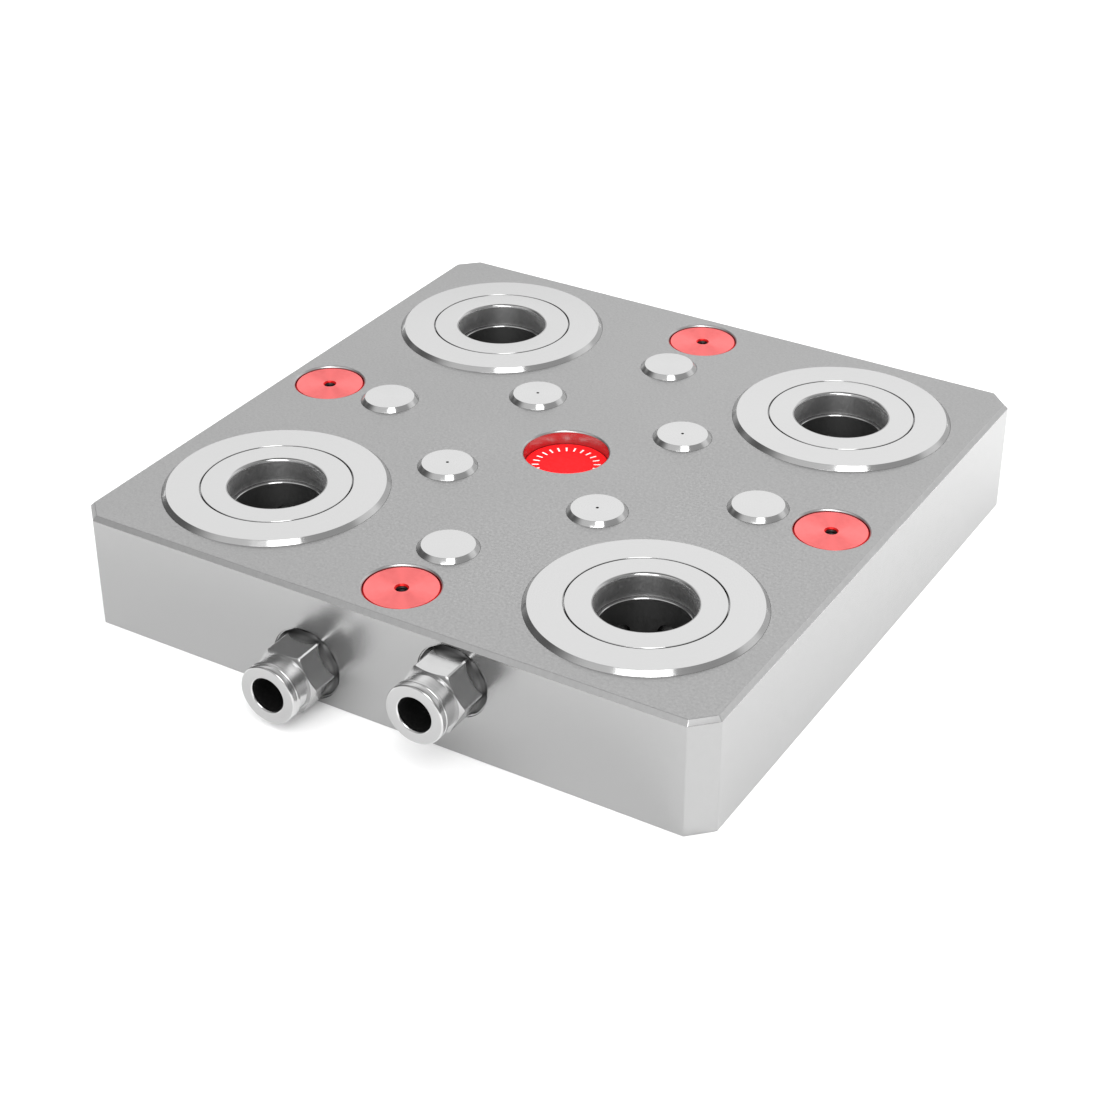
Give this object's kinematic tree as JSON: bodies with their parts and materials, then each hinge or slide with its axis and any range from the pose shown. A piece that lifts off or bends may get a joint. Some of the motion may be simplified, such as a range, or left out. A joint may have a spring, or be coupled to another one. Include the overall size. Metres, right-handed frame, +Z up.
{
  "type": "zero point clamping plate",
  "caption": "Square zero point clamping plate with ball lock stud sockets, raised rest pads, capped mounting holes and two push-in air fittings on one side.",
  "frame": {"origin": "plate centre on the underside", "axes": "+Z up out of the stud bores; -Y towards the air fittings"},
  "size_m": [0.16, 0.174, 0.029],
  "materials": {
    "plate_steel": "fine bead blasted steel, edges ground",
    "ring_steel": "hardened and ground steel",
    "pad_steel": "hardened and ground steel",
    "piston_steel": "turned steel",
    "spring_steel": "phosphated spring steel",
    "ball_steel": "polished bearing steel",
    "screw_steel": "blackened steel",
    "red_cap": "turned and red anodised",
    "red_disc": "red anodised with a white pattern",
    "nickel_brass": "nickel plated",
    "seal_rubber": "black nitrile"
  },
  "bodies": {
    "base": {"base_plate": "plate_steel", "cover_ring_front_left": "ring_steel", "seat_ring_front_left": "ring_steel", "spring_stack_front_left": "spring_steel", "cover_ring_front_right": "ring_steel", "seat_ring_front_right": "ring_steel", "spring_stack_front_right": "spring_steel", "cover_ring_back_right": "ring_steel", "seat_ring_back_right": "ring_steel", "spring_stack_back_right": "spring_steel", "cover_ring_back_left": "ring_steel", "seat_ring_back_left": "ring_steel", "spring_stack_back_left": "spring_steel", "cover_seals": "seal_rubber", "hole_cap_front": "red_cap", "hole_cap_right": "red_cap", "hole_cap_back": "red_cap", "hole_cap_left": "red_cap", "cap_seals": "seal_rubber", "centre_disc": "red_disc", "plain_pads": "pad_steel", "drilled_pads": "pad_steel", "release_fitting": "nickel_brass", "boost_fitting": "nickel_brass", "module_screws": "screw_steel", "way_plugs": "screw_steel"},
    "piston_front_left": {"piston_front_left": "piston_steel", "piston_seal_front_left": "seal_rubber"},
    "piston_front_right": {"piston_front_right": "piston_steel", "piston_seal_front_right": "seal_rubber"},
    "piston_back_right": {"piston_back_right": "piston_steel", "piston_seal_back_right": "seal_rubber"},
    "piston_back_left": {"piston_back_left": "piston_steel", "piston_seal_back_left": "seal_rubber"},
    "ball_front_left_1": {"lock_ball_front_left_1": "ball_steel"},
    "ball_front_left_2": {"lock_ball_front_left_2": "ball_steel"},
    "ball_front_left_3": {"lock_ball_front_left_3": "ball_steel"},
    "ball_front_left_4": {"lock_ball_front_left_4": "ball_steel"},
    "ball_front_left_5": {"lock_ball_front_left_5": "ball_steel"},
    "ball_front_left_6": {"lock_ball_front_left_6": "ball_steel"},
    "ball_front_right_1": {"lock_ball_front_right_1": "ball_steel"},
    "ball_front_right_2": {"lock_ball_front_right_2": "ball_steel"},
    "ball_front_right_3": {"lock_ball_front_right_3": "ball_steel"},
    "ball_front_right_4": {"lock_ball_front_right_4": "ball_steel"},
    "ball_front_right_5": {"lock_ball_front_right_5": "ball_steel"},
    "ball_front_right_6": {"lock_ball_front_right_6": "ball_steel"},
    "ball_back_right_1": {"lock_ball_back_right_1": "ball_steel"},
    "ball_back_right_2": {"lock_ball_back_right_2": "ball_steel"},
    "ball_back_right_3": {"lock_ball_back_right_3": "ball_steel"},
    "ball_back_right_4": {"lock_ball_back_right_4": "ball_steel"},
    "ball_back_right_5": {"lock_ball_back_right_5": "ball_steel"},
    "ball_back_right_6": {"lock_ball_back_right_6": "ball_steel"},
    "ball_back_left_1": {"lock_ball_back_left_1": "ball_steel"},
    "ball_back_left_2": {"lock_ball_back_left_2": "ball_steel"},
    "ball_back_left_3": {"lock_ball_back_left_3": "ball_steel"},
    "ball_back_left_4": {"lock_ball_back_left_4": "ball_steel"},
    "ball_back_left_5": {"lock_ball_back_left_5": "ball_steel"},
    "ball_back_left_6": {"lock_ball_back_left_6": "ball_steel"},
    "release_sleeve": {"release_sleeve": "nickel_brass"},
    "boost_sleeve": {"boost_sleeve": "nickel_brass"}
  },
  "joints": [
    {"name": "piston_front_left_lift", "type": "slide", "parent": "base", "child": "piston_front_left", "axis": [0, 0, 1], "range_m": [0, 0.003], "stiffness_N_per_m": 4000, "springref_m": -0.003, "deforming": ["spring_stack_front_left"]},
    {"name": "piston_front_right_lift", "type": "slide", "parent": "base", "child": "piston_front_right", "axis": [0, 0, 1], "range_m": [0, 0.003], "stiffness_N_per_m": 4000, "springref_m": -0.003, "deforming": ["spring_stack_front_right"]},
    {"name": "piston_back_right_lift", "type": "slide", "parent": "base", "child": "piston_back_right", "axis": [0, 0, 1], "range_m": [0, 0.003], "stiffness_N_per_m": 4000, "springref_m": -0.003, "deforming": ["spring_stack_back_right"]},
    {"name": "piston_back_left_lift", "type": "slide", "parent": "base", "child": "piston_back_left", "axis": [0, 0, 1], "range_m": [0, 0.003], "stiffness_N_per_m": 4000, "springref_m": -0.003, "deforming": ["spring_stack_back_left"]},
    {"name": "ball_front_left_1_slide", "type": "slide", "parent": "base", "child": "ball_front_left_1", "axis": [1, 0, 0], "range_m": [0, 0.0015]},
    {"name": "ball_front_left_2_slide", "type": "slide", "parent": "base", "child": "ball_front_left_2", "axis": [0.5, 0.866, 0], "range_m": [0, 0.0015]},
    {"name": "ball_front_left_3_slide", "type": "slide", "parent": "base", "child": "ball_front_left_3", "axis": [-0.5, 0.866, 0], "range_m": [0, 0.0015]},
    {"name": "ball_front_left_4_slide", "type": "slide", "parent": "base", "child": "ball_front_left_4", "axis": [-1, 0, 0], "range_m": [0, 0.0015]},
    {"name": "ball_front_left_5_slide", "type": "slide", "parent": "base", "child": "ball_front_left_5", "axis": [-0.5, -0.866, 0], "range_m": [0, 0.0015]},
    {"name": "ball_front_left_6_slide", "type": "slide", "parent": "base", "child": "ball_front_left_6", "axis": [0.5, -0.866, 0], "range_m": [0, 0.0015]},
    {"name": "ball_front_right_1_slide", "type": "slide", "parent": "base", "child": "ball_front_right_1", "axis": [0, 1, 0], "range_m": [0, 0.0015]},
    {"name": "ball_front_right_2_slide", "type": "slide", "parent": "base", "child": "ball_front_right_2", "axis": [-0.866, 0.5, 0], "range_m": [0, 0.0015]},
    {"name": "ball_front_right_3_slide", "type": "slide", "parent": "base", "child": "ball_front_right_3", "axis": [-0.866, -0.5, 0], "range_m": [0, 0.0015]},
    {"name": "ball_front_right_4_slide", "type": "slide", "parent": "base", "child": "ball_front_right_4", "axis": [0, -1, 0], "range_m": [0, 0.0015]},
    {"name": "ball_front_right_5_slide", "type": "slide", "parent": "base", "child": "ball_front_right_5", "axis": [0.866, -0.5, 0], "range_m": [0, 0.0015]},
    {"name": "ball_front_right_6_slide", "type": "slide", "parent": "base", "child": "ball_front_right_6", "axis": [0.866, 0.5, 0], "range_m": [0, 0.0015]},
    {"name": "ball_back_right_1_slide", "type": "slide", "parent": "base", "child": "ball_back_right_1", "axis": [-1, 0, 0], "range_m": [0, 0.0015]},
    {"name": "ball_back_right_2_slide", "type": "slide", "parent": "base", "child": "ball_back_right_2", "axis": [-0.5, -0.866, 0], "range_m": [0, 0.0015]},
    {"name": "ball_back_right_3_slide", "type": "slide", "parent": "base", "child": "ball_back_right_3", "axis": [0.5, -0.866, 0], "range_m": [0, 0.0015]},
    {"name": "ball_back_right_4_slide", "type": "slide", "parent": "base", "child": "ball_back_right_4", "axis": [1, 0, 0], "range_m": [0, 0.0015]},
    {"name": "ball_back_right_5_slide", "type": "slide", "parent": "base", "child": "ball_back_right_5", "axis": [0.5, 0.866, 0], "range_m": [0, 0.0015]},
    {"name": "ball_back_right_6_slide", "type": "slide", "parent": "base", "child": "ball_back_right_6", "axis": [-0.5, 0.866, 0], "range_m": [0, 0.0015]},
    {"name": "ball_back_left_1_slide", "type": "slide", "parent": "base", "child": "ball_back_left_1", "axis": [0, -1, 0], "range_m": [0, 0.0015]},
    {"name": "ball_back_left_2_slide", "type": "slide", "parent": "base", "child": "ball_back_left_2", "axis": [0.866, -0.5, 0], "range_m": [0, 0.0015]},
    {"name": "ball_back_left_3_slide", "type": "slide", "parent": "base", "child": "ball_back_left_3", "axis": [0.866, 0.5, 0], "range_m": [0, 0.0015]},
    {"name": "ball_back_left_4_slide", "type": "slide", "parent": "base", "child": "ball_back_left_4", "axis": [0, 1, 0], "range_m": [0, 0.0015]},
    {"name": "ball_back_left_5_slide", "type": "slide", "parent": "base", "child": "ball_back_left_5", "axis": [-0.866, 0.5, 0], "range_m": [0, 0.0015]},
    {"name": "ball_back_left_6_slide", "type": "slide", "parent": "base", "child": "ball_back_left_6", "axis": [-0.866, -0.5, 0], "range_m": [0, 0.0015]},
    {"name": "release_sleeve_press", "type": "slide", "parent": "base", "child": "release_sleeve", "axis": [0, 1, 0], "range_m": [0, 0.001], "stiffness_N_per_m": 500, "springref_m": -0.001},
    {"name": "boost_sleeve_press", "type": "slide", "parent": "base", "child": "boost_sleeve", "axis": [0, 1, 0], "range_m": [0, 0.001], "stiffness_N_per_m": 500, "springref_m": -0.001}
  ],
  "couplings": [
    {"joint": "piston_front_right_lift", "follows": "piston_front_left_lift", "ratio": 1},
    {"joint": "piston_back_right_lift", "follows": "piston_front_left_lift", "ratio": 1},
    {"joint": "piston_back_left_lift", "follows": "piston_front_left_lift", "ratio": 1},
    {"joint": "ball_front_left_1_slide", "follows": "piston_front_left_lift", "ratio": 0.5},
    {"joint": "ball_front_left_2_slide", "follows": "piston_front_left_lift", "ratio": 0.5},
    {"joint": "ball_front_left_3_slide", "follows": "piston_front_left_lift", "ratio": 0.5},
    {"joint": "ball_front_left_4_slide", "follows": "piston_front_left_lift", "ratio": 0.5},
    {"joint": "ball_front_left_5_slide", "follows": "piston_front_left_lift", "ratio": 0.5},
    {"joint": "ball_front_left_6_slide", "follows": "piston_front_left_lift", "ratio": 0.5},
    {"joint": "ball_front_right_1_slide", "follows": "piston_front_left_lift", "ratio": 0.5},
    {"joint": "ball_front_right_2_slide", "follows": "piston_front_left_lift", "ratio": 0.5},
    {"joint": "ball_front_right_3_slide", "follows": "piston_front_left_lift", "ratio": 0.5},
    {"joint": "ball_front_right_4_slide", "follows": "piston_front_left_lift", "ratio": 0.5},
    {"joint": "ball_front_right_5_slide", "follows": "piston_front_left_lift", "ratio": 0.5},
    {"joint": "ball_front_right_6_slide", "follows": "piston_front_left_lift", "ratio": 0.5},
    {"joint": "ball_back_right_1_slide", "follows": "piston_front_left_lift", "ratio": 0.5},
    {"joint": "ball_back_right_2_slide", "follows": "piston_front_left_lift", "ratio": 0.5},
    {"joint": "ball_back_right_3_slide", "follows": "piston_front_left_lift", "ratio": 0.5},
    {"joint": "ball_back_right_4_slide", "follows": "piston_front_left_lift", "ratio": 0.5},
    {"joint": "ball_back_right_5_slide", "follows": "piston_front_left_lift", "ratio": 0.5},
    {"joint": "ball_back_right_6_slide", "follows": "piston_front_left_lift", "ratio": 0.5},
    {"joint": "ball_back_left_1_slide", "follows": "piston_front_left_lift", "ratio": 0.5},
    {"joint": "ball_back_left_2_slide", "follows": "piston_front_left_lift", "ratio": 0.5},
    {"joint": "ball_back_left_3_slide", "follows": "piston_front_left_lift", "ratio": 0.5},
    {"joint": "ball_back_left_4_slide", "follows": "piston_front_left_lift", "ratio": 0.5},
    {"joint": "ball_back_left_5_slide", "follows": "piston_front_left_lift", "ratio": 0.5},
    {"joint": "ball_back_left_6_slide", "follows": "piston_front_left_lift", "ratio": 0.5}
  ]
}
